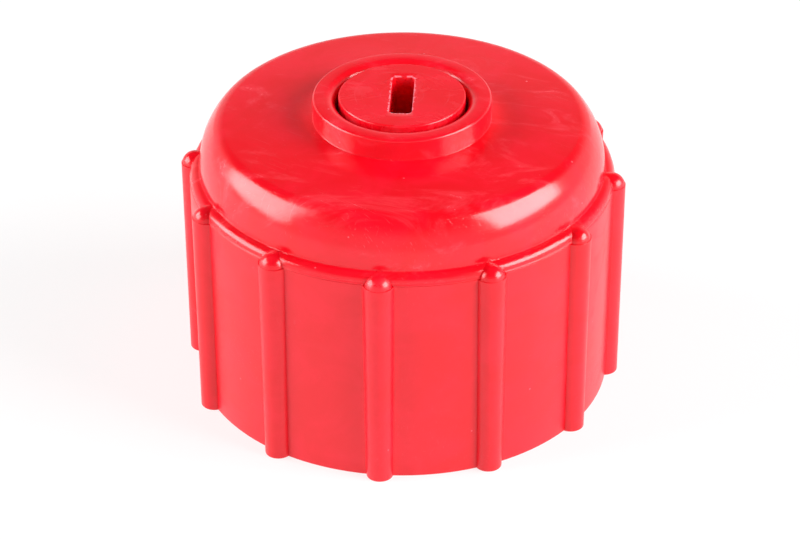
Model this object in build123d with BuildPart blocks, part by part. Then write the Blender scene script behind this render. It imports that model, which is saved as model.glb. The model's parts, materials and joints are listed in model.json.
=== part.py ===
from build123d import *
import os
from math import cos, radians, sin, tan

# Screw-on filler cap of a water-filled road barrier, with a slotted vent plug in its crown.
# Millimetres. +Z runs up the cap's axis, and the origin is the centre of the mouth's rim.

# Skirt: the outer wall, drafted so that it narrows towards the mouth
skirt_foot_r = 54.4
skirt_top_r = 55.0
skirt_top_z = 57.9
parting_step = 0.3  # the mould's halves meet here, and the lower one is cut this much larger
parting_band_h = 0.65

# Shoulder: a quarter round above the skirt, and the fillet that runs it into the dome
shoulder_r = 2.1
dome_foot_r = 52.25

# Dome: a wide arc, a tighter one over the edge of the crown, and a crown that rises gently
dome_foot_z = 61.5
dome_arc_r = 17.0
dome_start_deg = 1.0
dome_turn_deg = 39.0
edge_arc_r = 4.0
crown_deg = 88.0

# Grip ribs: half-round bars that thicken upwards, each with a ball end turned in over the shoulder
rib_count = 12
rib_foot_r = 3.4
rib_top_r = 4.0
rib_foot_reach = 57.4
rib_top_reach = 57.75
ball_r = 3.45
ball_z = 56.7
ball_setback = 0.12  # the ball's front stands this far behind the rib's
bar_end_reach = 51.4
rib_root_r = 52.2  # buried depth of a rib's flat back

# Boss round the plug
boss_r = 22.87
boss_top_z = 80.0
boss_bevel = 0.35
well_r = 16.95
well_lip_r = 2.8
seat_z = 70.0
seat_wall = 3.5

# Neck thread inside the skirt: one start, cut outwards from the crest radius
neck_crest_r = 48.3
neck_root_r = 50.7
neck_pitch = 8.0
neck_mouth_r = 51.0
neck_mouth_z = 6.0
neck_mouth_chamfer = 0.6
neck_relief_r = 50.95
neck_relief_z = 50.0
neck_land = 4.3
load_flank_deg = 10.0
lead_flank_deg = 28.0
neck_ledge_z = 56.5

# Inside of the dome
dome_inner_r = 46.8
dome_inner_arc_r = 7.5
crown_inner_z = 70.2

# Plug thread, the same pitch in the cap and on the plug
plug_pitch = 3.0
plug_crest_r = 13.2
plug_core_r = 11.95
plug_crest_w = 0.9
plug_flank_deg = 15.0
thread_gap = 0.3  # between the plug's thread and the cap's, square to the flanks and at the crests
plug_tube_r = 17.0
plug_tube_foot_z = 55.5
thread_relief_r = 13.75
thread_relief_z = 68.0

# Plug
plug_head_r = 16.27
plug_head_top_z = 80.3
plug_head_foot_z = 72.2
plug_head_bevel = 0.3
plug_foot_z = 56.5
plug_thread_foot_z = 58.3
plug_thread_top_z = 67.6
plug_hollow_r = 8.5
plug_hollow_top_z = 63.8
slot_length = 19.0
slot_width = 5.8
slot_corner_r = 1.2
slot_depth = 14.0
slot_lean_deg = 3.3  # how far the fitted plug stands from its slot lying along Y

# Rubber parts
gasket_inner_r = 46.9
gasket_outer_r = 50.7
gasket_h = 3.0
seal_inner_r = 12.15
seal_outer_r = 16.0
overlap = 0.5  # how far cutters and joined pieces run past the face that they meet
run_in_turns = 0.25  # how much of a turn before the wall that it cuts a groove starts
run_out_turns = 0.55  # how much of a turn it runs on past that wall's straight length, into the relief


def on_arc(centre, radius, elevation_deg):
    """The point of an arc in the radius-height plane whose normal has this elevation."""
    angle = radians(elevation_deg)
    return (centre[0] + radius * cos(angle), centre[1] + radius * sin(angle))


def centre_behind(point, radius, elevation_deg):
    """The centre of an arc that leaves this point with a normal of this elevation."""
    return on_arc(point, -radius, elevation_deg)


def slope(width, flank_deg):
    return width * tan(radians(flank_deg))


# ---- grip rib -----------------------------------------------------------------------------

ball_reach = rib_top_reach - ball_setback - ball_r
rib_top_z = skirt_top_z - parting_band_h


def rib_section(radius, reach):
    """A rib's cross-section: a circle flattened where it is buried in the wall."""
    with Locations((reach - radius, 0)):
        Circle(radius)
    with Locations((rib_root_r, 0)):
        Rectangle(reach, reach, align=(Align.MIN, Align.CENTER), mode=Mode.INTERSECT)


with BuildPart() as grip_rib:
    with BuildSketch() as rib_foot:
        rib_section(rib_foot_r, rib_foot_reach)
    with BuildSketch(Plane.XY.offset(rib_top_z)) as rib_top:
        rib_section(rib_top_r, rib_top_reach)
    loft()
    # The ball end, and the bar that runs in from it to the foot of the dome
    with BuildSketch(Plane.XZ) as ball_end:
        with BuildLine():
            Polyline(
                (ball_reach + ball_r, ball_z),
                (bar_end_reach, ball_z),
                (bar_end_reach, ball_z + ball_r),
                (ball_reach, ball_z + ball_r),
            )
            ThreePointArc(
                (ball_reach, ball_z + ball_r),
                on_arc((ball_reach, ball_z), ball_r, 45),
                (ball_reach + ball_r, ball_z),
            )
        make_face()
    revolve(axis=Axis((0, 0, ball_z), (1, 0, 0)))

# ---- cap shell ----------------------------------------------------------------------------

shoulder_edge_r = skirt_top_r - parting_step
shoulder_centre = (shoulder_edge_r - shoulder_r, skirt_top_z)
shoulder_top = (shoulder_centre[0], skirt_top_z + shoulder_r)
crease_r = shoulder_centre[0] - dome_foot_r
crease_centre = (shoulder_top[0], shoulder_top[1] + crease_r)
crease_end = (dome_foot_r, crease_centre[1])

dome_start = (dome_foot_r, dome_foot_z)
dome_centre = centre_behind(dome_start, dome_arc_r, dome_start_deg)
dome_turn = on_arc(dome_centre, dome_arc_r, dome_turn_deg)
edge_centre = centre_behind(dome_turn, edge_arc_r, dome_turn_deg)
crown_start = on_arc(edge_centre, edge_arc_r, crown_deg)
crown_end = (boss_r, crown_start[1] + slope(crown_start[0] - boss_r, 90 - crown_deg))

lip_centre = (well_r + well_lip_r, boss_top_z - well_lip_r)
lip_top = (lip_centre[0], boss_top_z)
lip_foot = (well_r, lip_centre[1])
plug_bore_r = plug_core_r + thread_gap
seat_outer_r = well_r + seat_wall
inner_arc_centre = (dome_inner_r - dome_inner_arc_r, crown_inner_z - dome_inner_arc_r)

with BuildPart() as cap_shell:
    # Half section of the whole moulding, from the mouth's outer edge up and round to its inner one
    with BuildSketch(Plane.XZ) as half_section:
        with BuildLine():
            Polyline(
                (skirt_foot_r, 0),
                (skirt_top_r - parting_step / 2, skirt_top_z - parting_band_h),
                (skirt_top_r, skirt_top_z - parting_band_h),
                (skirt_top_r, skirt_top_z),
                (shoulder_edge_r, skirt_top_z),
            )
            ThreePointArc(
                (shoulder_edge_r, skirt_top_z),
                on_arc(shoulder_centre, shoulder_r, 45),
                shoulder_top,
            )
            ThreePointArc(shoulder_top, on_arc(crease_centre, crease_r, 225), crease_end)
            Line(crease_end, dome_start)
            ThreePointArc(
                dome_start,
                on_arc(dome_centre, dome_arc_r, (dome_start_deg + dome_turn_deg) / 2),
                dome_turn,
            )
            ThreePointArc(
                dome_turn,
                on_arc(edge_centre, edge_arc_r, (dome_turn_deg + crown_deg) / 2),
                crown_start,
            )
            # Boss and the rounded lip of its well
            Polyline(
                crown_start,
                crown_end,
                (boss_r, boss_top_z - boss_bevel),
                (boss_r - boss_bevel, boss_top_z),
                lip_top,
            )
            ThreePointArc(lip_top, on_arc(lip_centre, well_lip_r, 135), lip_foot)
            # Well, seat, relief and bore of the plug thread, and the tube outside them
            Polyline(
                lip_foot,
                (well_r, seat_z),
                (thread_relief_r, seat_z),
                (thread_relief_r, thread_relief_z + thread_relief_r - plug_bore_r),
                (plug_bore_r, thread_relief_z),
                (plug_bore_r, plug_tube_foot_z),
                (plug_tube_r, plug_tube_foot_z),
                (plug_tube_r, seat_z - seat_wall),
                (seat_outer_r, seat_z - seat_wall),
                (seat_outer_r, crown_inner_z),
                (inner_arc_centre[0], crown_inner_z),
            )
            ThreePointArc(
                (inner_arc_centre[0], crown_inner_z),
                on_arc(inner_arc_centre, dome_inner_arc_r, 45),
                (dome_inner_r, inner_arc_centre[1]),
            )
            # Gasket ledge, relief, crest of the neck thread, mouth
            Polyline(
                (dome_inner_r, inner_arc_centre[1]),
                (dome_inner_r, neck_ledge_z),
                (neck_relief_r, neck_ledge_z),
                (neck_relief_r, neck_relief_z + neck_relief_r - neck_crest_r),
                (neck_crest_r, neck_relief_z),
                (neck_crest_r, neck_mouth_z + neck_mouth_r - neck_crest_r),
                (neck_mouth_r, neck_mouth_z),
                (neck_mouth_r, neck_mouth_chamfer),
                (neck_mouth_r + neck_mouth_chamfer, 0),
                (skirt_foot_r, 0),
            )
        make_face()
    revolve(axis=Axis.Z)
    with PolarLocations(0, rib_count):
        add(grip_rib.part)

    # Neck thread: a buttress groove that opens into the mouth below and the relief above
    groove_w = neck_pitch - neck_land
    groove_depth = neck_root_r - neck_crest_r
    groove_start_z = neck_mouth_z - run_in_turns * neck_pitch
    with BuildLine() as neck_path:
        Helix(
            pitch=neck_pitch,
            height=neck_relief_z + run_out_turns * neck_pitch - groove_start_z,
            radius=neck_crest_r,
            center=(0, 0, groove_start_z),
        )
    with BuildSketch(Plane.XZ) as neck_groove:
        with BuildLine():
            Polyline(
                (neck_crest_r - overlap, groove_start_z - groove_w / 2 - slope(overlap, load_flank_deg)),
                (neck_root_r, groove_start_z - groove_w / 2 + slope(groove_depth, load_flank_deg)),
                (neck_root_r, groove_start_z + groove_w / 2 - slope(groove_depth, lead_flank_deg)),
                (neck_crest_r - overlap, groove_start_z + groove_w / 2 + slope(overlap, lead_flank_deg)),
                close=True,
            )
        make_face()
    sweep(path=neck_path.line, is_frenet=True, mode=Mode.SUBTRACT)

    # Plug thread in the cap: the plug's own profile grown by the running gap. It starts one turn
    # below the plug's, so that it opens through the foot of the tube.
    cut_r = plug_crest_r + thread_gap
    gap_w = 2 * thread_gap / cos(radians(plug_flank_deg))
    cut_crest_w = plug_crest_w + gap_w - 2 * slope(thread_gap, plug_flank_deg)
    cut_open_r = plug_bore_r - overlap
    cut_open_w = cut_crest_w + 2 * slope(cut_r - cut_open_r, plug_flank_deg)
    cut_start_z = plug_thread_foot_z - plug_pitch
    with BuildLine() as plug_cut_path:
        Helix(
            pitch=plug_pitch,
            height=thread_relief_z + run_out_turns * plug_pitch - cut_start_z,
            radius=plug_core_r,
            center=(0, 0, cut_start_z),
        )
    with BuildSketch(Plane.XZ) as plug_cut:
        with BuildLine():
            Polyline(
                (cut_open_r, cut_start_z - cut_open_w / 2),
                (cut_r, cut_start_z - cut_crest_w / 2),
                (cut_r, cut_start_z + cut_crest_w / 2),
                (cut_open_r, cut_start_z + cut_open_w / 2),
                close=True,
            )
        make_face()
    sweep(path=plug_cut_path.line, is_frenet=True, mode=Mode.SUBTRACT)

# ---- neck gasket --------------------------------------------------------------------------

with BuildPart() as neck_gasket:
    with BuildSketch(Plane.XY.offset(neck_ledge_z - gasket_h)):
        Circle(gasket_outer_r)
        Circle(gasket_inner_r, mode=Mode.SUBTRACT)
    extrude(amount=gasket_h)

# ---- centre plug --------------------------------------------------------------------------

with BuildPart() as centre_plug:
    with BuildSketch(Plane.XY.offset(plug_head_foot_z)):
        Circle(plug_head_r)
    extrude(amount=plug_head_top_z - plug_head_foot_z)
    chamfer(edges().group_by(Axis.Z)[-1], length=plug_head_bevel)
    with BuildSketch(Plane.XY.offset(plug_foot_z)):
        Circle(plug_core_r)
    extrude(amount=plug_head_foot_z - plug_foot_z)

    # Thread, standing on the shank
    ridge_root_r = plug_core_r - overlap
    ridge_root_w = plug_crest_w + 2 * slope(plug_crest_r - ridge_root_r, plug_flank_deg)
    with BuildLine() as ridge_path:
        Helix(
            pitch=plug_pitch,
            height=plug_thread_top_z - plug_thread_foot_z,
            radius=plug_core_r,
            center=(0, 0, plug_thread_foot_z),
        )
    with BuildSketch(Plane.XZ) as ridge:
        with BuildLine():
            Polyline(
                (ridge_root_r, plug_thread_foot_z - ridge_root_w / 2),
                (plug_crest_r, plug_thread_foot_z - plug_crest_w / 2),
                (plug_crest_r, plug_thread_foot_z + plug_crest_w / 2),
                (ridge_root_r, plug_thread_foot_z + ridge_root_w / 2),
                close=True,
            )
        make_face()
    sweep(path=ridge_path.line, is_frenet=True)

    # Hollow up the shank, and the blind slot for a bar or a coin
    with BuildSketch(Plane.XY.offset(plug_foot_z)):
        Circle(plug_hollow_r)
    extrude(amount=plug_hollow_top_z - plug_foot_z, mode=Mode.SUBTRACT)
    with BuildSketch(Plane.XY.offset(plug_head_top_z)):
        with Locations(Rotation(0, 0, slot_lean_deg)):
            RectangleRounded(slot_width, slot_length, slot_corner_r)
    extrude(amount=-slot_depth, mode=Mode.SUBTRACT)

# ---- plug seal ----------------------------------------------------------------------------

with BuildPart() as plug_seal:
    with BuildSketch(Plane.XY.offset(seat_z)):
        Circle(seal_outer_r)
        Circle(seal_inner_r, mode=Mode.SUBTRACT)
    extrude(amount=plug_head_foot_z - seat_z)

# ---- write the pieces ---------------------------------------------------------------------

os.makedirs("parts", exist_ok=True)

cap_shell.part.label = "cap_shell"
export_step(cap_shell.part, "parts/cap_shell.step")

neck_gasket.part.label = "neck_gasket"
export_step(neck_gasket.part, "parts/neck_gasket.step")

centre_plug.part.label = "centre_plug"
export_step(centre_plug.part, "parts/centre_plug.step")

plug_seal.part.label = "plug_seal"
export_step(plug_seal.part, "parts/plug_seal.step")
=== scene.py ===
import json
import math

import bmesh
import bpy
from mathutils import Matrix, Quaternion, Vector


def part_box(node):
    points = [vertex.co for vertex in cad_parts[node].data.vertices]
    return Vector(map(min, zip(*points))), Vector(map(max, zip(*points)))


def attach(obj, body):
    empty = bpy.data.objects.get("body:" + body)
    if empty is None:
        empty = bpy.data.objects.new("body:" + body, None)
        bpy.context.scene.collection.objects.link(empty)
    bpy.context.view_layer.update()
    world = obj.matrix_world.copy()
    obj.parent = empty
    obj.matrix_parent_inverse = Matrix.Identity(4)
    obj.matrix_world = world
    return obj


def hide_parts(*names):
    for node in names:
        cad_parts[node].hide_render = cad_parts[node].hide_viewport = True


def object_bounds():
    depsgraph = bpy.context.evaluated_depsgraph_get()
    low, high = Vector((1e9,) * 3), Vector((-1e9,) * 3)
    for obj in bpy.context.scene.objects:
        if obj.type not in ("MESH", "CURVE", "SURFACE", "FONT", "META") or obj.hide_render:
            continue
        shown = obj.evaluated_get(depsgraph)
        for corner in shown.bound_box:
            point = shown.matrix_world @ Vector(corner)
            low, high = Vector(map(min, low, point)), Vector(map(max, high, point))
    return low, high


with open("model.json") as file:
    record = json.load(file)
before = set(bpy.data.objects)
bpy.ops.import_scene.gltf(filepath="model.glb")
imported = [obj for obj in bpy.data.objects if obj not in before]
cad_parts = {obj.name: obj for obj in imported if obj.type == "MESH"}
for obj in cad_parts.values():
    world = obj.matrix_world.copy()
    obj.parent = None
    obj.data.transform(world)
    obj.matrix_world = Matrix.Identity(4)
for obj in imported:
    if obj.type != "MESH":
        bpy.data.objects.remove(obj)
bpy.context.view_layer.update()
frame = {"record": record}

MM = 0.001

# The red filler cap of a water-filled road barrier: one ribbed moulding, a slotted vent plug in its
# crown, and the two rubber rings that seal them. Lengths below are millimetres unless a name says
# otherwise; a "section" is a list of (radius, height) points round the cap's axis.

cap_low, cap_high = (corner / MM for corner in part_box("cap_shell"))
plug_low, plug_high = (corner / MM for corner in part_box("centre_plug"))
seal_low, seal_high = (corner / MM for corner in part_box("plug_seal"))
gasket_low, gasket_high = (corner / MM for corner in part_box("neck_gasket"))
neck_mount = next(m for m in frame["record"]["mounts"] if m["name"] == "neck_thread")

# ---- shape of the cap ---------------------------------------------------------------------

RIB_COUNT = 12
RIB_TOP_REACH = -cap_low.y
RIB_TOP_R = 4.0
RIB_DRAFT = 0.35
RIB_FOOT_REACH = RIB_TOP_REACH - RIB_DRAFT
RIB_FOOT_R = 3.4
RIB_PROUD = 2.75
SKIRT_TOP_R = RIB_TOP_REACH - RIB_PROUD
SKIRT_DRAFT = 0.6
SKIRT_FOOT_R = SKIRT_TOP_R - SKIRT_DRAFT
SKIRT_TOP_Z = 57.9
PARTING_STEP = 0.3
PARTING_BAND = 0.65
PARTING_Z = SKIRT_TOP_Z - PARTING_BAND
BALL_R = 3.45
BALL_Z = 56.7
BALL_SETBACK = 0.12
BALL_REACH = RIB_TOP_REACH - BALL_SETBACK - BALL_R
SHOULDER_R = 2.1
DOME_FOOT_R = 52.25
DOME_FOOT_Z = 61.5
DOME_ARC_R, DOME_START, DOME_TURN = 17.0, 1.0, 39.0
EDGE_ARC_R, CROWN_START = 4.0, 88.0
BOSS_R = 22.87
BOSS_TOP_Z = cap_high.z
BOSS_BEVEL = 0.4
CROWN_STEPS, CROWN_LAST_GAP = 10, 1.0
WELL_R = 16.95
LIP_R = 2.8
SEAT_Z = seal_low.z
SEAT_WALL = 3.5
NECK_CREST_R = neck_mount["dims"]["r_mm"]
NECK_ROOT_R = 50.7
NECK_PITCH = 8.0
NECK_LAND = 4.3
MOUTH_R, MOUTH_Z, MOUTH_CHAMFER = 51.0, 6.0, 0.6
RELIEF_R, RELIEF_Z = 50.95, 50.0
LEDGE_Z = gasket_high.z
DOME_INNER_R, DOME_INNER_ARC_R, CROWN_INNER_Z = 46.8, 7.5, 70.2
PLUG_PITCH = 3.0
PLUG_CREST_R, PLUG_CORE_R = 13.2, 11.95
THREAD_GAP = 0.3
TUBE_R, TUBE_FOOT_Z = 17.0, 55.5
TUBE_RELIEF_R, TUBE_RELIEF_Z = 13.75, 68.0
LOAD_FLANK, LEAD_FLANK, PLUG_FLANK = 10, 28, 15
PLUG_CREST_W = 0.9


def arc(centre, radius, start_deg, end_deg, steps):
    """Points of an arc in the section plane, by the elevation of its normal."""
    found = []
    for i in range(steps + 1):
        angle = math.radians(start_deg + (end_deg - start_deg) * i / steps)
        found.append((centre[0] + radius * math.cos(angle), centre[1] + radius * math.sin(angle)))
    return found


def behind(point, radius, elevation_deg):
    """Centre of the arc that leaves this point with a normal of this elevation."""
    angle = math.radians(elevation_deg)
    return (point[0] - radius * math.cos(angle), point[1] - radius * math.sin(angle))


def softened(corners, steps=3):
    """A path through (radius, height, softness) corners, each eased by a curve that starts and ends
    the softness away from it."""
    path = []
    for i, (r, z, soft) in enumerate(corners):
        if soft == 0 or i in (0, len(corners) - 1):
            path.append((r, z))
            continue
        here = Vector((r, z))
        back = (Vector(corners[i - 1][:2]) - here).normalized()
        ahead = (Vector(corners[i + 1][:2]) - here).normalized()
        start, end = here + back * soft, here + ahead * soft
        for j in range(steps + 1):
            t = j / steps
            point = start * (1 - t) ** 2 + here * (2 * t * (1 - t)) + end * t ** 2
            path.append((point.x, point.y))
    return path


def evenly(points, count):
    """The same polyline as `count` points spaced evenly along it."""
    lengths = [math.dist(a, b) for a, b in zip(points, points[1:])]
    total = sum(lengths)
    if total < 1e-9:
        return [points[0]] * count
    found, i, walked = [], 0, 0.0
    for n in range(count):
        target = total * n / (count - 1)
        while i < len(lengths) - 1 and walked + lengths[i] < target:
            walked += lengths[i]
            i += 1
        t = min(max((target - walked) / max(lengths[i], 1e-12), 0), 1)
        a, b = points[i], points[i + 1]
        found.append((a[0] + (b[0] - a[0]) * t, a[1] + (b[1] - a[1]) * t))
    return found


def skirt_r(z):
    """Radius of the drafted wall between the ribs."""
    return SKIRT_FOOT_R + (SKIRT_TOP_R - PARTING_STEP / 2 - SKIRT_FOOT_R) * min(z / PARTING_Z, 1)


def rib_at(z):
    """Centre distance and radius of a rib's round at this height."""
    t = min(z / PARTING_Z, 1)
    radius = RIB_FOOT_R + (RIB_TOP_R - RIB_FOOT_R) * t
    return RIB_FOOT_REACH + (RIB_TOP_REACH - RIB_FOOT_REACH) * t - radius, radius


def rib_half_angle(z, wall_r):
    """Angle from a rib's middle to where its round meets the wall."""
    centre, radius = rib_at(z)
    return math.acos((wall_r ** 2 + centre ** 2 - radius ** 2) / (2 * wall_r * centre))


def rib_front_r(z, angle):
    centre, radius = rib_at(z)
    return centre * math.cos(angle) + math.sqrt(max(radius ** 2 - (centre * math.sin(angle)) ** 2, 0))


# Each rib's span is cut into columns spaced like an arc's points, and each gap evenly
RIB_STEPS, GAP_STEPS = 20, 9
PITCH_ANGLE = 2 * math.pi / RIB_COUNT


def column_places():
    """(rib number, place) of each column: place runs -1..1 across a rib, then 1..2 over the gap."""
    places = []
    for rib in range(RIB_COUNT):
        places += [(rib, -math.cos(math.pi * i / RIB_STEPS)) for i in range(RIB_STEPS)]
        places += [(rib, 1 + i / GAP_STEPS) for i in range(GAP_STEPS)]
    return places


def offset_in_pitch(place, half_angle):
    """Angle from the rib's middle of a column, for a rib of this half angle."""
    if place <= 1:
        return place * half_angle
    return half_angle + (place - 1) * (PITCH_ANGLE - 2 * half_angle)


# How far the foot's and the parting ledge's edges are eased, and the depth of the parting line itself
FOOT_SOFT, LEDGE_SOFT = 0.25, 0.12
HAIRLINE = 0.05


def skirt_column(place):
    """(offset angle, radius, height) up the outside of the skirt in one column, to the parting line."""
    heights = [FOOT_SOFT * (1 - math.cos(math.pi * i / 6)) for i in range(4)]
    heights += [1.5 + (PARTING_Z - LEDGE_SOFT - 1.5) * i / 11 for i in range(12)]
    heights += [PARTING_Z - LEDGE_SOFT * share for share in (0.6, 0.25, 0.0)]
    found = []
    for z in heights:
        wall = skirt_r(z)
        offset = offset_in_pitch(place, rib_half_angle(z, wall))
        radius = rib_front_r(z, offset) if place < 1 else wall
        if z < FOOT_SOFT:
            radius -= FOOT_SOFT * (1 - math.sqrt(1 - (1 - z / FOOT_SOFT) ** 2)) * 0.8
        drop = 1 - (PARTING_Z - z) / LEDGE_SOFT
        if drop > 0:
            radius -= LEDGE_SOFT * (1 - math.sqrt(1 - drop ** 2)) * (1.0 if place < 1 else 0.3)
        found.append((offset, radius, z))
    return found


def shoulder_outline():
    """The section from the parting line over the quarter round and up to the dome's first point."""
    edge_r = SKIRT_TOP_R - PARTING_STEP
    centre = (edge_r - SHOULDER_R, SKIRT_TOP_Z)
    crease = centre[0] - DOME_FOOT_R
    path = [
        (edge_r - HAIRLINE, PARTING_Z),
        (edge_r - HAIRLINE, PARTING_Z + HAIRLINE),
        (edge_r + PARTING_STEP * 0.6, PARTING_Z + 2.4 * HAIRLINE),
        (edge_r + PARTING_STEP * 0.7, PARTING_Z + 5 * HAIRLINE),
        (edge_r + PARTING_STEP * 0.5, SKIRT_TOP_Z - 3 * HAIRLINE),
    ]
    path += arc(centre, SHOULDER_R, 0, 90, 24)
    path += arc((centre[0], SKIRT_TOP_Z + SHOULDER_R + crease), crease, 270, 180, 6)[1:]
    top = (DOME_FOOT_R, DOME_FOOT_Z)
    start = path[-1]
    return path + [(start[0], start[1] + (top[1] - start[1]) * i / 5) for i in range(1, 6)]


SHOULDER = shoulder_outline()
BALL_ROWS, SHOULDER_ROWS = 14, 22


def outline_r(z):
    """Radius of the shoulder's section at a height."""
    for (r0, z0), (r1, z1) in zip(SHOULDER, SHOULDER[1:]):
        if z0 <= z <= z1 and z1 > z0:
            return r0 + (r1 - r0) * (z - z0) / (z1 - z0)
    return SHOULDER[-1][0]


def over_shoulder(offset):
    """Ball rows, then shoulder rows, of one column above the parting line."""
    lateral = BALL_REACH * math.sin(offset)
    depth = math.sqrt(max(BALL_R ** 2 - lateral ** 2, 0))
    centre = BALL_REACH * math.cos(offset)
    start = math.degrees(math.asin(min((PARTING_Z - BALL_Z) / depth, 1))) if depth > 0 else 90
    edge = SHOULDER[0]
    if start >= 89 or centre + depth * math.cos(math.radians(start)) <= edge[0]:
        return [edge] * BALL_ROWS, evenly(SHOULDER, SHOULDER_ROWS)
    ball, joined = [], None
    for r, z in arc((centre, BALL_Z), depth, start, 90, 60):
        if r < outline_r(z):
            joined = z
            break
        ball.append((r, z))
    if joined is None:
        joined = BALL_Z + depth
    rest = [(outline_r(joined), joined)] + [p for p in SHOULDER if p[1] > joined + 1e-6]
    return evenly(ball + [rest[0]], BALL_ROWS), evenly(rest, SHOULDER_ROWS)


def dome_section():
    """From the dome's foot over the crown, the boss and its lip, and down the well to the seat."""
    foot = (DOME_FOOT_R, DOME_FOOT_Z)
    centre = behind(foot, DOME_ARC_R, DOME_START)
    path = arc(centre, DOME_ARC_R, DOME_START, DOME_TURN, 26)[1:]
    edge_centre = behind(path[-1], EDGE_ARC_R, DOME_TURN)
    path += arc(edge_centre, EDGE_ARC_R, DOME_TURN, CROWN_START, 16)[1:]
    crown = path[-1]
    rise = math.tan(math.radians(90 - CROWN_START))
    crown_end_z = crown[1] + (crown[0] - BOSS_R) * rise
    inward = BOSS_R + CROWN_LAST_GAP - crown[0]
    for i in range(1, CROWN_STEPS):
        share = i / CROWN_STEPS
        path.append((crown[0] + inward * share, crown[1] - inward * rise * share))
    path += softened([
        (path[-1][0], path[-1][1], 0),
        (BOSS_R, crown_end_z, 0.25),
        (BOSS_R, BOSS_TOP_Z - BOSS_BEVEL, BOSS_BEVEL / 2),
        (BOSS_R - BOSS_BEVEL, BOSS_TOP_Z, BOSS_BEVEL / 2),
        (WELL_R + LIP_R, BOSS_TOP_Z, 0),
    ])[1:]
    path += arc((WELL_R + LIP_R, BOSS_TOP_Z - LIP_R), LIP_R, 90, 180, 10)[1:]
    path += softened([
        (WELL_R, BOSS_TOP_Z - LIP_R, 0),
        (WELL_R, SEAT_Z, 0.4),
        (TUBE_RELIEF_R, SEAT_Z, 0),
    ])[1:]
    return path


def inner_section():
    """From the tube's foot up its outside, under the crown and down to the thread relief's top."""
    seat_r, seat_under = WELL_R + SEAT_WALL, SEAT_Z - SEAT_WALL
    path = softened([
        (PLUG_CREST_R + THREAD_GAP, TUBE_FOOT_Z, 0),
        (TUBE_R, TUBE_FOOT_Z, 0.4),
        (TUBE_R, seat_under, 1.2),
        (seat_r, seat_under, 0.6),
        (seat_r, CROWN_INNER_Z, 1.2),
        (DOME_INNER_R - DOME_INNER_ARC_R, CROWN_INNER_Z, 0),
    ])[1:]
    inner_centre = (DOME_INNER_R - DOME_INNER_ARC_R, CROWN_INNER_Z - DOME_INNER_ARC_R)
    path += arc(inner_centre, DOME_INNER_ARC_R, 90, 0, 14)[1:]
    path += softened([
        (DOME_INNER_R, inner_centre[1], 0),
        (DOME_INNER_R, LEDGE_Z, 0.3),
        (RELIEF_R, LEDGE_Z, 0.3),
        (RELIEF_R, RELIEF_Z + RELIEF_R - NECK_CREST_R, 0),
    ])[1:]
    return path


def piecewise(points, x):
    """Straight-line interpolation through (x, y) points that rise in x."""
    if x <= points[0][0]:
        return points[0][1]
    for (x0, y0), (x1, y1) in zip(points, points[1:]):
        if x <= x1:
            return y0 + (y1 - y0) * (x - x0) / (x1 - x0)
    return points[-1][1]


class Thread:
    """A helical groove or ridge on a round wall, as rows that follow the helix.

    base: the plain wall's (height, radius) points. shape: the thread's (offset along the axis, radius)
    points. span: the helix's first and last turn, beyond which the wall is plain. Rows are held inside
    each stretch of the wall, so the ones past an end lie on that end."""

    def __init__(self, base, shape, pitch, start_z, turns, span=None):
        self.base, self.shape, self.pitch = base, shape, pitch
        self.start_z, self.turns, self.span = start_z, turns, span

    def radius(self, z, turn_share):
        plain = piecewise(self.base, z)
        nearest = round((z - self.start_z) / self.pitch - turn_share)
        deepest = plain
        for k in (nearest - 1, nearest, nearest + 1):
            turn = k + turn_share
            cut = piecewise(self.shape, z - (self.start_z + turn * self.pitch))
            if self.span is not None:
                faded = min(turn - self.span[0], self.span[1] - turn) / self.span[2]
                cut = plain + (cut - plain) * min(max(faded, 0), 1)
            deepest = max(deepest, cut)
        return deepest

    def rows(self, turn_share):
        """(radius, height) up the wall in the column that stands this share of a turn round."""
        offsets = [s[0] for s in self.shape]
        gap = (self.pitch + offsets[0] - offsets[-1]) / 3
        offsets += [offsets[-1] + gap, offsets[-1] + 2 * gap]
        found = []
        for (low, _), (high, _) in zip(self.base, self.base[1:]):
            found.append((self.radius(low, turn_share), low))
            for k in range(-2, self.turns + 1):
                middle = self.start_z + (k + turn_share) * self.pitch
                for offset in offsets:
                    z = min(max(middle + offset, low), high)
                    found.append((self.radius(z, turn_share), z))
        found.append((self.radius(self.base[-1][0], turn_share), self.base[-1][0]))
        return found


load_flank, lead_flank = math.tan(math.radians(LOAD_FLANK)), math.tan(math.radians(LEAD_FLANK))
groove_half = (NECK_PITCH - NECK_LAND) / 2
groove_depth = NECK_ROOT_R - NECK_CREST_R
neck_thread = Thread(
    base=[
        (MOUTH_Z, MOUTH_R),
        (MOUTH_Z + MOUTH_R - NECK_CREST_R, NECK_CREST_R),
        (RELIEF_Z, NECK_CREST_R),
        (RELIEF_Z + RELIEF_R - NECK_CREST_R, RELIEF_R),
    ],
    shape=[
        (-groove_half - 0.08, NECK_CREST_R),
        (-groove_half + 0.05, NECK_CREST_R + 0.12),
        (-groove_half + groove_depth * load_flank, NECK_ROOT_R),
        (groove_half - groove_depth * lead_flank, NECK_ROOT_R),
        (groove_half - 0.06, NECK_CREST_R + 0.12),
        (groove_half + 0.08, NECK_CREST_R),
    ],
    pitch=NECK_PITCH, start_z=MOUTH_Z - NECK_PITCH / 4, turns=8,
)

plug_flank = math.tan(math.radians(PLUG_FLANK))
gap_side = THREAD_GAP / math.cos(math.radians(PLUG_FLANK))


def plug_thread_shape(crest_r, foot_r, crest_w):
    foot_w = crest_w + 2 * (crest_r - foot_r) * plug_flank
    return [(-foot_w / 2, foot_r), (-crest_w / 2, crest_r), (crest_w / 2, crest_r), (foot_w / 2, foot_r)]


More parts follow.
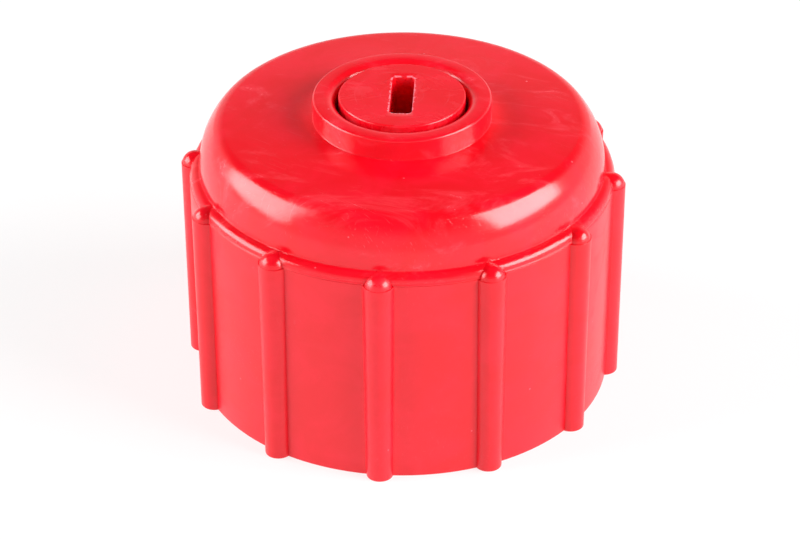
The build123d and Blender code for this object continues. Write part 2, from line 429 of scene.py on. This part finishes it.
PLUG_THREAD_Z = 58.3
TUBE_BORE_R = PLUG_CORE_R + THREAD_GAP
tube_thread = Thread(
    base=[
        (TUBE_FOOT_Z, TUBE_BORE_R),
        (TUBE_RELIEF_Z, TUBE_BORE_R),
        (TUBE_RELIEF_Z + TUBE_RELIEF_R - TUBE_BORE_R, TUBE_RELIEF_R),
    ],
    shape=plug_thread_shape(
        PLUG_CREST_R + THREAD_GAP, TUBE_BORE_R, PLUG_CREST_W + 2 * gap_side - 2 * THREAD_GAP * plug_flank
    ),
    pitch=PLUG_PITCH, start_z=PLUG_THREAD_Z - PLUG_PITCH, turns=6,
)


SHARP_DEG = 28


def mesh_object(name, columns):
    """A closed skin from columns of points round the axis, each of which runs round the section."""
    mesh = bpy.data.meshes.new(name)
    built = bmesh.new()
    grid = [[built.verts.new(Vector(p) * MM) for p in column] for column in columns]
    for here, there in zip(grid, grid[1:]):
        count = len(here)
        for i in range(count):
            j = (i + 1) % count
            built.faces.new((here[i], there[i], there[j], here[j]))
    bmesh.ops.remove_doubles(built, verts=built.verts, dist=2e-7)
    bmesh.ops.dissolve_degenerate(built, edges=built.edges, dist=1e-8)
    loose = [edge for edge in built.edges if not edge.link_faces]
    bmesh.ops.delete(built, geom=loose, context="EDGES")
    bmesh.ops.recalc_face_normals(built, faces=built.faces)
    built.to_mesh(mesh)
    built.free()
    piece = bpy.data.objects.new(name, mesh)
    bpy.context.scene.collection.objects.link(piece)
    for face in mesh.polygons:
        face.use_smooth = True
    mesh.set_sharp_from_angle(angle=math.radians(SHARP_DEG))
    return piece


def at_angle(radius, angle, z):
    return (radius * math.cos(angle), radius * math.sin(angle), z)


def cap_columns():
    """Every column of the cap: up the outside, over the crown, down the well and out by the mouth."""
    shared_top = dome_section()
    shared_inside = inner_section()
    first_rib = -math.pi / 2  # one rib stands at the front, on the -Y side
    places = column_places()
    columns = []
    for n in range(len(places) + 1):
        rib, place = places[n % len(places)]
        middle = first_rib + PITCH_ANGLE * rib + (2 * math.pi if n == len(places) else 0)
        outside = skirt_column(place)
        points = [at_angle(r, middle + offset, z) for offset, r, z in outside]
        offset = outside[-1][0]
        angle = middle + offset
        ball, shoulder = over_shoulder(offset if place <= 1 else PITCH_ANGLE / 2)
        turn = angle / (2 * math.pi)
        section = ball + shoulder + shared_top
        section += tube_thread.rows(turn)[::-1]
        section += shared_inside
        section += neck_thread.rows(turn)[::-1]
        section += softened([
            (MOUTH_R, MOUTH_Z, 0),
            (MOUTH_R, MOUTH_CHAMFER, 0.2),
            (MOUTH_R + MOUTH_CHAMFER, 0, 0.2),
            (MOUTH_R + 2 * MOUTH_CHAMFER, 0, 0),
        ])[1:]
        points += [at_angle(r, angle, z) for r, z in section]
        columns.append(points)
    return columns


def ring_piece(name, section, count):
    """A closed skin turned from one section."""
    angles = [2 * math.pi * i / count for i in range(count + 1)]
    return mesh_object(name, [[at_angle(r, angle, z) for r, z in section] for angle in angles])


# ---- shape of the plug --------------------------------------------------------------------

PLUG_HEAD_R = plug_high.x
PLUG_TOP_Z, PLUG_FOOT_Z = plug_high.z, plug_low.z
PLUG_HEAD_FOOT_Z = seal_high.z
PLUG_BEVEL = 0.3
PLUG_THREAD_TOP_Z = 67.6
HOLLOW_R, HOLLOW_TOP_Z = 8.5, 63.8
SLOT_WIDTH, SLOT_LENGTH, SLOT_CORNER_R, SLOT_DEPTH = 5.8, 19.0, 1.2, 14.0
SLOT_LEAN = math.radians(3.3)
SLOT_EDGE = 0.16


def slot_reach(angle, grow):
    """Distance from the axis to the slot's wall, or to one that stands `grow` further out."""
    half_w, half_l = SLOT_WIDTH / 2 + grow, SLOT_LENGTH / 2 + grow
    corner_r = SLOT_CORNER_R + grow
    across, along = abs(math.cos(angle - SLOT_LEAN)), abs(math.sin(angle - SLOT_LEAN))
    reach = min(half_w / max(across, 1e-9), half_l / max(along, 1e-9))
    corner = (half_w - corner_r, half_l - corner_r)
    if reach * across > corner[0] and reach * along > corner[1]:
        toward = across * corner[0] + along * corner[1]
        reach = toward + math.sqrt(toward ** 2 - corner[0] ** 2 - corner[1] ** 2 + corner_r ** 2)
    return reach


def plug_angles():
    """Even steps round the plug, and closer ones round the slot's four corners."""
    even = [2 * math.pi * i / 120 for i in range(120)]
    centre = (SLOT_WIDTH / 2 - SLOT_CORNER_R, SLOT_LENGTH / 2 - SLOT_CORNER_R)
    corners = []
    for i in range(9):
        turn = math.pi / 2 * i / 8
        x, y = (centre[0] + SLOT_CORNER_R * math.cos(turn), centre[1] + SLOT_CORNER_R * math.sin(turn))
        angle = math.atan2(y, x)
        corners += [SLOT_LEAN + a for a in (angle, math.pi - angle, math.pi + angle, -angle)]
    angles = sorted({round(a % (2 * math.pi), 6) for a in even + corners})
    return angles + [angles[0] + 2 * math.pi]


def plug_columns():
    """Every column of the plug: slot floor, slot wall, head, shank with its thread, and hollow."""
    columns = []
    floor_z = PLUG_TOP_Z - SLOT_DEPTH
    for angle in plug_angles():
        section = [(0, floor_z)]
        section += [(slot_reach(angle, -0.4), floor_z), (slot_reach(angle, -0.12), floor_z + 0.12)]
        wall_heights = (floor_z + 0.4, PLUG_TOP_Z - 4, PLUG_TOP_Z - SLOT_EDGE)
        section += [(slot_reach(angle, 0), z) for z in wall_heights]
        section += [(slot_reach(angle, SLOT_EDGE * 0.3), PLUG_TOP_Z - SLOT_EDGE * 0.3)]
        section += [(slot_reach(angle, SLOT_EDGE), PLUG_TOP_Z)]
        rim = PLUG_HEAD_R - PLUG_BEVEL
        slot_r = slot_reach(angle, SLOT_EDGE)
        section += [(slot_r + (rim - slot_r) * share, PLUG_TOP_Z) for share in (0.3, 0.6, 0.9)]
        section += softened([
            (rim - 0.2, PLUG_TOP_Z, 0),
            (rim, PLUG_TOP_Z, 0.12),
            (PLUG_HEAD_R, PLUG_TOP_Z - PLUG_BEVEL, 0.12),
            (PLUG_HEAD_R, PLUG_HEAD_FOOT_Z, 0.3),
            (PLUG_CORE_R, PLUG_HEAD_FOOT_Z, 0.3),
            (PLUG_CORE_R, PLUG_HEAD_FOOT_Z - 1.0, 0),
        ])
        section += plug_thread.rows(angle / (2 * math.pi))[::-1]
        section += softened([
            (PLUG_CORE_R, PLUG_FOOT_Z + 0.6, 0),
            (PLUG_CORE_R, PLUG_FOOT_Z, 0.4),
            (HOLLOW_R, PLUG_FOOT_Z, 0.3),
            (HOLLOW_R, HOLLOW_TOP_Z, 0.8),
            (0, HOLLOW_TOP_Z, 0),
        ])
        columns.append([at_angle(r, angle, z) for r, z in section])
    return columns


plug_turns = (PLUG_THREAD_TOP_Z - PLUG_THREAD_Z) / PLUG_PITCH
plug_thread = Thread(
    base=[(PLUG_FOOT_Z + 0.7, PLUG_CORE_R), (PLUG_HEAD_FOOT_Z - 1.2, PLUG_CORE_R)],
    shape=plug_thread_shape(PLUG_CREST_R, PLUG_CORE_R, PLUG_CREST_W),
    pitch=PLUG_PITCH, start_z=PLUG_THREAD_Z, turns=6, span=(0, plug_turns, 0.06),
)

# ---- rubber rings -------------------------------------------------------------------------


def ring_section(inner_r, outer_r, low_z, high_z, edge):
    """A rectangular ring's section with its edges rounded."""
    middle_r = (inner_r + outer_r) / 2
    return softened([
        (middle_r, low_z, 0),
        (outer_r, low_z, edge),
        (outer_r, high_z, edge),
        (inner_r, high_z, edge),
        (inner_r, low_z, edge),
        (middle_r, low_z, 0),
    ])[:-1]


GASKET_INNER_R, SEAL_INNER_R = 46.9, 12.15

# ---- materials ----------------------------------------------------------------------------


def from_hex(code):
    """Linear red, green, blue and alpha of an sRGB colour written as hex."""
    shares = [int(code[i:i + 2], 16) / 255 for i in (1, 3, 5)]
    linear = [c / 12.92 if c <= 0.04045 else ((c + 0.055) / 1.055) ** 2.4 for c in shares]
    return (*linear, 1.0)


def per_mm(size):
    """Texture scale, in features per metre, for a feature of this many millimetres."""
    return 1 / (size * MM)


def add(tree, kind, inputs=None, **settings):
    """Adds a node with its settings. An input is given a value, a socket to link, or another node,
    of which the first output in use is linked."""
    made = tree.nodes.new(kind)
    for key, value in settings.items():
        setattr(made, key, value)
    for key, value in (inputs or {}).items():
        if isinstance(value, bpy.types.Node):
            value = next(socket for socket in value.outputs if socket.enabled)
        if isinstance(value, bpy.types.NodeSocket):
            tree.links.new(value, made.inputs[key])
        else:
            made.inputs[key].default_value = value
    return made


def new_material(name):
    """A material with nothing in its tree yet; returns both."""
    made = bpy.data.materials.new(name)
    made.use_nodes = True
    made.node_tree.nodes.clear()
    return made, made.node_tree


def scratches(tree, place, turn_deg, width_mm, length_mm, least, seed):
    """Thin straight marks one way: noise drawn out along one axis, of which only the peaks count."""
    turned = add(tree, "ShaderNodeMapping", {
        "Vector": place,
        "Rotation": [math.radians(a) for a in turn_deg],
        "Location": (seed * 0.013, seed * 0.007, seed * 0.011),
    })
    drawn = add(tree, "ShaderNodeMapping", {
        "Vector": turned,
        "Scale": (per_mm(length_mm), per_mm(width_mm), per_mm(width_mm * 6)),
    })
    lines = add(tree, "ShaderNodeTexNoise", {
        "Vector": drawn, "Scale": 1.0, "Detail": 1.5, "Roughness": 0.6,
    })
    return add(tree, "ShaderNodeMapRange", {
        "Value": lines, "From Min": least, "From Max": least + 0.08,
    }, interpolation_type="SMOOTHSTEP")


# Size and place of the pale band round the slot's rim, a painted highlight mixed with the slot's
# whitened burr
SLOT_RIM_BAND_REACH = 0.50
SLOT_RIM_BAND_MIDDLE = 0.06
SLOT_RIM_BAND_FADE_TOP, SLOT_RIM_BAND_FADE_FOOT = 0.15, 0.5


def slot_burr_and_highlight(tree, place):
    """A pale band round the slot's rim, part painted highlight where the edge catches light and part the
    plastic whitened by the slot's ragged edge: 1 on its rim and 0 beyond it.
    """
    # How far each point of the head stands from the slot's rounded rectangle
    turned = add(tree, "ShaderNodeVectorRotate", {
        "Vector": place, "Angle": -SLOT_LEAN,
    }, rotation_type="Z_AXIS")
    folded = add(tree, "ShaderNodeVectorMath", {0: turned}, operation="ABSOLUTE")
    corner = ((SLOT_WIDTH / 2 - SLOT_CORNER_R) * MM, (SLOT_LENGTH / 2 - SLOT_CORNER_R) * MM, 1.0)
    beyond = add(tree, "ShaderNodeVectorMath", {0: folded, 1: corner}, operation="SUBTRACT")
    outside = add(tree, "ShaderNodeVectorMath", {0: beyond, 1: (0, 0, 0)}, operation="MAXIMUM")
    reach = add(tree, "ShaderNodeVectorMath", {0: outside}, operation="LENGTH")
    rim = (SLOT_CORNER_R + SLOT_RIM_BAND_MIDDLE) * MM
    past = add(tree, "ShaderNodeMath", {0: reach, 1: rim}, operation="SUBTRACT")
    apart = add(tree, "ShaderNodeMath", {0: past}, operation="ABSOLUTE")

    # The burr is torn, so the pale band's width, painted highlight and burr alike, wanders along the rim
    # and falls to nothing in places
    ragged = add(tree, "ShaderNodeTexNoise", {"Vector": place, "Scale": per_mm(0.7), "Detail": 2.0})
    width = add(tree, "ShaderNodeMapRange", {
        "Value": ragged, "From Min": 0.38, "From Max": 0.68, "To Min": 0.0, "To Max": SLOT_RIM_BAND_REACH * MM,
    }, interpolation_type="SMOOTHSTEP")
    near = add(tree, "ShaderNodeMath", {0: apart, 1: width}, operation="LESS_THAN")
    height = add(tree, "ShaderNodeSeparateXYZ", {0: place}).outputs["Z"]
    on_top = add(tree, "ShaderNodeMapRange", {
        "Value": height,
        "From Min": (PLUG_TOP_Z - SLOT_RIM_BAND_FADE_FOOT) * MM,
        "From Max": (PLUG_TOP_Z - SLOT_RIM_BAND_FADE_TOP) * MM,
    }, interpolation_type="SMOOTHSTEP")
    return add(tree, "ShaderNodeMath", {0: near, 1: on_top}, operation="MULTIPLY")


MARK_PITCH = 0.45
MARK_INNER_R, MARK_OUTER_R = 11.0, 14.6


def turning_marks(tree, place):
    """Faint rings round the plug's slot, where a coin or a bar has slid as it turned."""
    flat = add(tree, "ShaderNodeVectorMath", {0: place, 1: (1, 1, 0)}, operation="MULTIPLY")
    reach = add(tree, "ShaderNodeVectorMath", {0: flat}, operation="LENGTH")
    broken = add(tree, "ShaderNodeTexNoise", {"Vector": place, "Scale": per_mm(5), "Detail": 2.0})
    along = add(tree, "ShaderNodeCombineXYZ", {
        0: add(tree, "ShaderNodeMath", {0: reach, 1: per_mm(MARK_PITCH)}, operation="MULTIPLY"),
        1: add(tree, "ShaderNodeMath", {0: broken, 1: 1.6}, operation="MULTIPLY"),
    })
    rings = add(tree, "ShaderNodeTexNoise", {"Vector": along, "Scale": 1.0, "Detail": 1.0})
    peaks = add(tree, "ShaderNodeMapRange", {
        "Value": rings, "From Min": 0.56, "From Max": 0.72,
    }, interpolation_type="SMOOTHSTEP")
    on_head = add(tree, "ShaderNodeMapRange", {
        "Value": reach, "From Min": MARK_OUTER_R * MM, "From Max": MARK_INNER_R * MM,
    }, interpolation_type="SMOOTHSTEP")
    return add(tree, "ShaderNodeMath", {0: peaks, 1: on_head}, operation="MULTIPLY")


def plug_wear_and_highlight(tree, place):
    """The paler share of the plug's head: its turning marks, and over them the pale band on its slot's
    rim, which is part painted highlight and part whitened burr.
    """
    rings = add(tree, "ShaderNodeMath", {0: turning_marks(tree, place), 1: 0.09}, operation="MULTIPLY")
    rim_band = add(tree, "ShaderNodeMath", {0: slot_burr_and_highlight(tree, place), 1: 0.75}, operation="MULTIPLY")
    return add(tree, "ShaderNodeMath", {0: rings, 1: rim_band}, operation="MAXIMUM")


def red_polyethylene(name, crown_gloss, skirt_gloss, seed, wear_and_highlight=None):
    """Injection-moulded red polyethylene: dense pigment, a waxy gloss on the crown and a satin wall,
    faint flow marks, and the fine rubs and nicks of a cap that has been handled."""
    made, tree = new_material(name)
    place = add(tree, "ShaderNodeTexCoord").outputs["Object"]
    height = add(tree, "ShaderNodeSeparateXYZ", {0: place}).outputs["Z"]
    on_crown = add(tree, "ShaderNodeMapRange", {
        "Value": height,
        "From Min": (SKIRT_TOP_Z - 0.8) * MM,
        "From Max": (SKIRT_TOP_Z + 1.6) * MM,
    }, interpolation_type="SMOOTHSTEP")

    # Pigment: slow changes of depth, and pale flow marks that the melt has drawn out and folded
    clouds = add(tree, "ShaderNodeTexNoise", {
        "Vector": place, "Scale": per_mm(16), "Detail": 5.0, "Roughness": 0.62, "Distortion": 0.6,
    })
    depth = add(tree, "ShaderNodeMapRange", {
        "Value": clouds, "From Min": 0.36, "From Max": 0.66,
    }, interpolation_type="SMOOTHSTEP")
    red = add(tree, "ShaderNodeMix", {
        0: depth, 6: from_hex("#E8061A"), 7: from_hex("#EF0D26"),
    }, data_type="RGBA")
    drawn = add(tree, "ShaderNodeMapping", {
        "Vector": place,
        "Scale": (per_mm(24), per_mm(10), per_mm(14)),
        "Rotation": (0, 0, math.radians(24 + 40 * seed)),
    })
    flow = add(tree, "ShaderNodeTexNoise", {
        "Vector": drawn, "Scale": 1.0, "Detail": 8.0, "Roughness": 0.66, "Distortion": 1.5,
    })
    wisps = add(tree, "ShaderNodeMapRange", {
        "Value": flow, "From Min": 0.52, "From Max": 0.76,
    }, interpolation_type="SMOOTHSTEP")
    strength = add(tree, "ShaderNodeMix", {0: on_crown, 2: 0.08, 3: 0.55}, data_type="FLOAT")
    red = add(tree, "ShaderNodeMix", {
        0: add(tree, "ShaderNodeMath", {0: wisps, 1: strength}, operation="MULTIPLY"),
        6: red,
        7: from_hex("#FA4C5A"),
    }, data_type="RGBA")

    # Rubs: three directions of hairline, gathered in patches and fewer on the wall. Real ones are
    # under 0.1 mm wide, and these are drawn wider so that they show
    patches = add(tree, "ShaderNodeTexNoise", {
        "Vector": place, "Scale": per_mm(19), "Detail": 2.0, "Roughness": 0.5,
    })
    flat_rubs = scratches(
        tree, place, turn_deg=(0, 0, 31), width_mm=0.24, length_mm=14, least=0.66, seed=seed
    )
    side_rubs = scratches(
        tree, place, turn_deg=(8, 70, -20), width_mm=0.22, length_mm=11, least=0.70, seed=seed + 3
    )
    end_rubs = scratches(
        tree, place, turn_deg=(74, 12, 55), width_mm=0.22, length_mm=12, least=0.70, seed=seed + 5
    )
    rubs = add(tree, "ShaderNodeMath", {0: flat_rubs, 1: side_rubs}, operation="MAXIMUM")
    rubs = add(tree, "ShaderNodeMath", {0: rubs, 1: end_rubs}, operation="MAXIMUM")
    gathered = add(tree, "ShaderNodeMapRange", {
        "Value": patches, "From Min": 0.46, "From Max": 0.64,
    }, interpolation_type="SMOOTHSTEP")
    rubs = add(tree, "ShaderNodeMath", {0: rubs, 1: gathered}, operation="MULTIPLY")
    share = add(tree, "ShaderNodeMapRange", {
        "Value": on_crown, "From Min": 0.0, "From Max": 1.0, "To Min": 0.45, "To Max": 1.0,
    }, interpolation_type="SMOOTHSTEP")
    rubs = add(tree, "ShaderNodeMath", {0: rubs, 1: share}, operation="MULTIPLY")

    # Nicks and dust: small pale spots, far apart
    cells = add(tree, "ShaderNodeTexVoronoi", {"Vector": place, "Scale": per_mm(8.5), "Randomness": 1.0})
    spots = add(tree, "ShaderNodeMapRange", {
        "Value": cells, "From Min": 0.042, "From Max": 0.018,
    }, interpolation_type="SMOOTHSTEP")
    pale = add(tree, "ShaderNodeMath", {
        0: add(tree, "ShaderNodeMath", {0: rubs, 1: 0.13}, operation="MULTIPLY"),
        1: add(tree, "ShaderNodeMath", {0: spots, 1: 0.4}, operation="MULTIPLY"),
    }, operation="MAXIMUM")
    # The plug's share here holds its turning marks and the painted highlight on its slot's rim
    if wear_and_highlight is not None:
        pale = add(tree, "ShaderNodeMath", {0: pale, 1: wear_and_highlight(tree, place)}, operation="MAXIMUM")
    red = add(tree, "ShaderNodeMix", {0: pale, 6: red, 7: from_hex("#FF90A0")}, data_type="RGBA")

    # Gloss: crown and skirt differ, and rubs and flow marks dull both
    polish = add(tree, "ShaderNodeMix", {0: on_crown, 2: skirt_gloss, 3: crown_gloss}, data_type="FLOAT")
    dulling = add(tree, "ShaderNodeMapRange", {
        "Value": flow, "From Min": 0.44, "From Max": 0.74,
    }, interpolation_type="SMOOTHSTEP")
    gloss = add(tree, "ShaderNodeMath", {
        0: polish,
        1: add(tree, "ShaderNodeMath", {0: dulling, 1: 0.12}, operation="MULTIPLY"),
    }, operation="ADD")
    gloss = add(tree, "ShaderNodeMath", {
        0: gloss,
        1: add(tree, "ShaderNodeMath", {0: pale, 1: 0.22}, operation="MULTIPLY"),
    }, operation="ADD")

    # Relief: slow sink of the melt as it cools, the mould's own grain, small pits and the rubs'
    # furrows. The grain of such a mould is near 0.1 mm, and is drawn coarser so that it shows
    sink = add(tree, "ShaderNodeTexNoise", {"Vector": place, "Scale": per_mm(7), "Detail": 1.0})
    grain = add(tree, "ShaderNodeTexNoise", {
        "Vector": place, "Scale": per_mm(0.55), "Detail": 3.0, "Roughness": 0.6,
    })
    hollows = add(tree, "ShaderNodeMapRange", {
        "Value": grain, "From Min": 0.39, "From Max": 0.29,
    }, interpolation_type="SMOOTHSTEP")
    pitted = add(tree, "ShaderNodeMapRange", {
        "Value": patches, "From Min": 0.44, "From Max": 0.56,
    }, interpolation_type="SMOOTHSTEP")
    pits = add(tree, "ShaderNodeMath", {0: hollows, 1: pitted}, operation="MULTIPLY")
    slow = add(tree, "ShaderNodeBump", {"Height": sink, "Strength": 1.0, "Distance": 0.04 * MM})
    fine = add(tree, "ShaderNodeBump", {
        "Height": grain, "Strength": 1.0, "Distance": 0.006 * MM, "Normal": slow,
    })
    sunk = add(tree, "ShaderNodeBump", {
        "Height": pits, "Strength": 1.0, "Distance": 0.018 * MM, "Normal": fine,
    }, invert=True)
    furrows = add(tree, "ShaderNodeBump", {
        "Height": rubs, "Strength": 1.0, "Distance": 0.008 * MM, "Normal": sunk,
    }, invert=True)

    # Polyethylene's IOR is about 1.54. Light goes about a millimetre into it, and red goes furthest
    shader = add(tree, "ShaderNodeBsdfPrincipled", {
        "Base Color": red,
        "Roughness": gloss,
        "Normal": furrows,
        "IOR": 1.54,
        "Subsurface Weight": 0.06,
        "Subsurface Radius": (1.0, 0.25, 0.2),
        "Subsurface Scale": 1.2 * MM,
    })
    add(tree, "ShaderNodeOutputMaterial", {"Surface": shader})
    return made


def epdm_rubber(name, grain_mm, seed):
    """Moulded EPDM: a dead black that greys a little where it is rubbed, with a matt, grainy skin."""
    made, tree = new_material(name)
    place = add(tree, "ShaderNodeTexCoord").outputs["Object"]
    grain = add(tree, "ShaderNodeTexNoise", {
        "Vector": place, "Scale": per_mm(grain_mm), "Detail": 4.0, "Roughness": 0.65,
    })
    bloom = add(tree, "ShaderNodeTexNoise", {
        "Vector": place, "Scale": per_mm(9 + seed), "Detail": 3.0, "Distortion": 0.8,
    })
    greyed = add(tree, "ShaderNodeMapRange", {
        "Value": bloom, "From Min": 0.45, "From Max": 0.72,
    }, interpolation_type="SMOOTHSTEP")
    black = add(tree, "ShaderNodeMix", {
        0: greyed, 6: from_hex("#1B1B1C"), 7: from_hex("#2C2C2D"),
    }, data_type="RGBA")
    dull = add(tree, "ShaderNodeMapRange", {
        "Value": grain, "From Min": 0.3, "From Max": 0.7, "To Min": 0.62, "To Max": 0.82,
    }, interpolation_type="SMOOTHSTEP")
    skin = add(tree, "ShaderNodeBump", {"Height": grain, "Strength": 1.0, "Distance": 0.02 * MM})
    shader = add(tree, "ShaderNodeBsdfPrincipled", {
        "Base Color": black, "Roughness": dull, "Normal": skin, "IOR": 1.52,
    })
    add(tree, "ShaderNodeOutputMaterial", {"Surface": shader})
    return made


def white_sweep(name):
    """The studio's opal sheet: matt white acrylic, lit from beneath so that shadows stay faint."""
    made, tree = new_material(name)
    place = add(tree, "ShaderNodeTexCoord").outputs["Object"]
    tooth = add(tree, "ShaderNodeTexNoise", {"Vector": place, "Scale": per_mm(3), "Detail": 3.0})
    white = add(tree, "ShaderNodeMix", {
        0: tooth, 6: from_hex("#8A8A8A"), 7: from_hex("#8E8E8E"),
    }, data_type="RGBA")
    shader = add(tree, "ShaderNodeBsdfPrincipled", {
        "Base Color": white,
        "Roughness": 0.8,
        "Emission Color": from_hex("#FFFFFF"),
        "Emission Strength": 0.73,
    })
    add(tree, "ShaderNodeOutputMaterial", {"Surface": shader})
    return made


# ---- put the pieces on their bodies -------------------------------------------------------


def fit(piece, body, node, material):
    piece.data.materials.append(material)
    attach(piece, body)
    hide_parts(node)


cap_red = red_polyethylene("moulded_red_polyethylene_cap", crown_gloss=0.17, skirt_gloss=0.32, seed=1)
# The plug's material paints a highlight on its slot's rim, along with its wear
plug_red = red_polyethylene(
    "moulded_red_polyethylene_plug", crown_gloss=0.24, skirt_gloss=0.32, seed=2, wear_and_highlight=plug_wear_and_highlight
)
fit(mesh_object("cap_moulding", cap_columns()), "cap", "cap_shell", cap_red)
fit(mesh_object("vent_plug", plug_columns()), "plug", "centre_plug", plug_red)
gasket_shape = ring_section(GASKET_INNER_R, gasket_high.x, gasket_low.z, gasket_high.z, 0.25)
fit(ring_piece("neck_gasket_ring", gasket_shape, 144), "cap", "neck_gasket",
    epdm_rubber("moulded_epdm_gasket", 0.35, 1))
seal_shape = ring_section(SEAL_INNER_R, seal_high.x, seal_low.z, seal_high.z, 0.35)
fit(ring_piece("plug_seal_ring", seal_shape, 96), "seal", "plug_seal",
    epdm_rubber("moulded_epdm_seal", 0.3, 2))

# ---- studio -------------------------------------------------------------------------------


def softbox(name, aim, azimuth, elevation, distance, width, height, power):
    """A rectangular light that faces the cap; azimuth 0 stands on the -Y side, and 90 on the +X side."""
    a, e = math.radians(azimuth), math.radians(elevation)
    toward = Vector((math.sin(a) * math.cos(e), -math.cos(a) * math.cos(e), math.sin(e)))
    data = bpy.data.lights.new(name, "AREA")
    data.shape = "RECTANGLE"
    data.size, data.size_y, data.energy = width, height, power
    light = bpy.data.objects.new(name, data)
    light.location = aim + toward * distance
    light.rotation_mode = "QUATERNION"
    light.rotation_quaternion = (-toward).to_track_quat("-Z", "Y")
    bpy.context.scene.collection.objects.link(light)


low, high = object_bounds()
middle = (low + high) / 2

FLOOR_GAP = 0.05 * MM
FLOOR_HALF = 3.0
floor_mesh = bpy.data.meshes.new("studio_floor")
built = bmesh.new()
bmesh.ops.create_grid(built, x_segments=8, y_segments=8, size=FLOOR_HALF)
built.to_mesh(floor_mesh)
built.free()
floor = bpy.data.objects.new("studio_floor", floor_mesh)
floor.location.z = low.z - FLOOR_GAP
floor_mesh.materials.append(white_sweep("opal_acrylic_sheet"))
bpy.context.scene.collection.objects.link(floor)

softbox(
    "left_softbox", middle, azimuth=-82, elevation=24, distance=1.1, width=0.92, height=0.68, power=14.5
)
softbox(
    "right_softbox", middle, azimuth=80, elevation=28, distance=1.1, width=0.88, height=0.66, power=19
)

world = bpy.data.worlds.new("studio_air")
world.use_nodes = True
backdrop = world.node_tree
backdrop.nodes.clear()
upward = add(backdrop, "ShaderNodeSeparateXYZ", {
    0: add(backdrop, "ShaderNodeTexCoord").outputs["Generated"],
}).outputs["Z"]
# A white tent stands round the table, and its light falls off to a dark ceiling
lit = add(backdrop, "ShaderNodeMapRange", {
    "Value": upward, "From Min": 0.20, "From Max": 0.64, "To Min": 0.72, "To Max": 0.06,
}, interpolation_type="SMOOTHSTEP")
tent = add(backdrop, "ShaderNodeBackground", {"Color": from_hex("#FFFFFF"), "Strength": lit})
add(backdrop, "ShaderNodeOutputWorld", {"Surface": tent})
bpy.context.scene.world = world
bpy.context.scene.view_settings.view_transform = "Standard"

# The camera stands in front and a little to the right, about 32 degrees up, with a long lens
CAMERA_AT = Vector((77.548, -708.340, 481.167)) * MM
CAMERA_AIM = Vector((-0.646, -0.071, 27.31)) * MM
CAMERA_ROLL = math.radians(-0.18)
camera_data = bpy.data.cameras.new("camera")
camera_data.lens, camera_data.sensor_width = 144.21, 36
camera_data.clip_start, camera_data.clip_end = 0.05, 20
camera = bpy.data.objects.new("camera", camera_data)
camera.location = CAMERA_AT
camera.rotation_mode = "QUATERNION"
aimed = (CAMERA_AIM - CAMERA_AT).to_track_quat("-Z", "Y")
camera.rotation_quaternion = aimed @ Quaternion((0, 0, 1), CAMERA_ROLL)
bpy.context.scene.collection.objects.link(camera)
bpy.context.scene.camera = camera
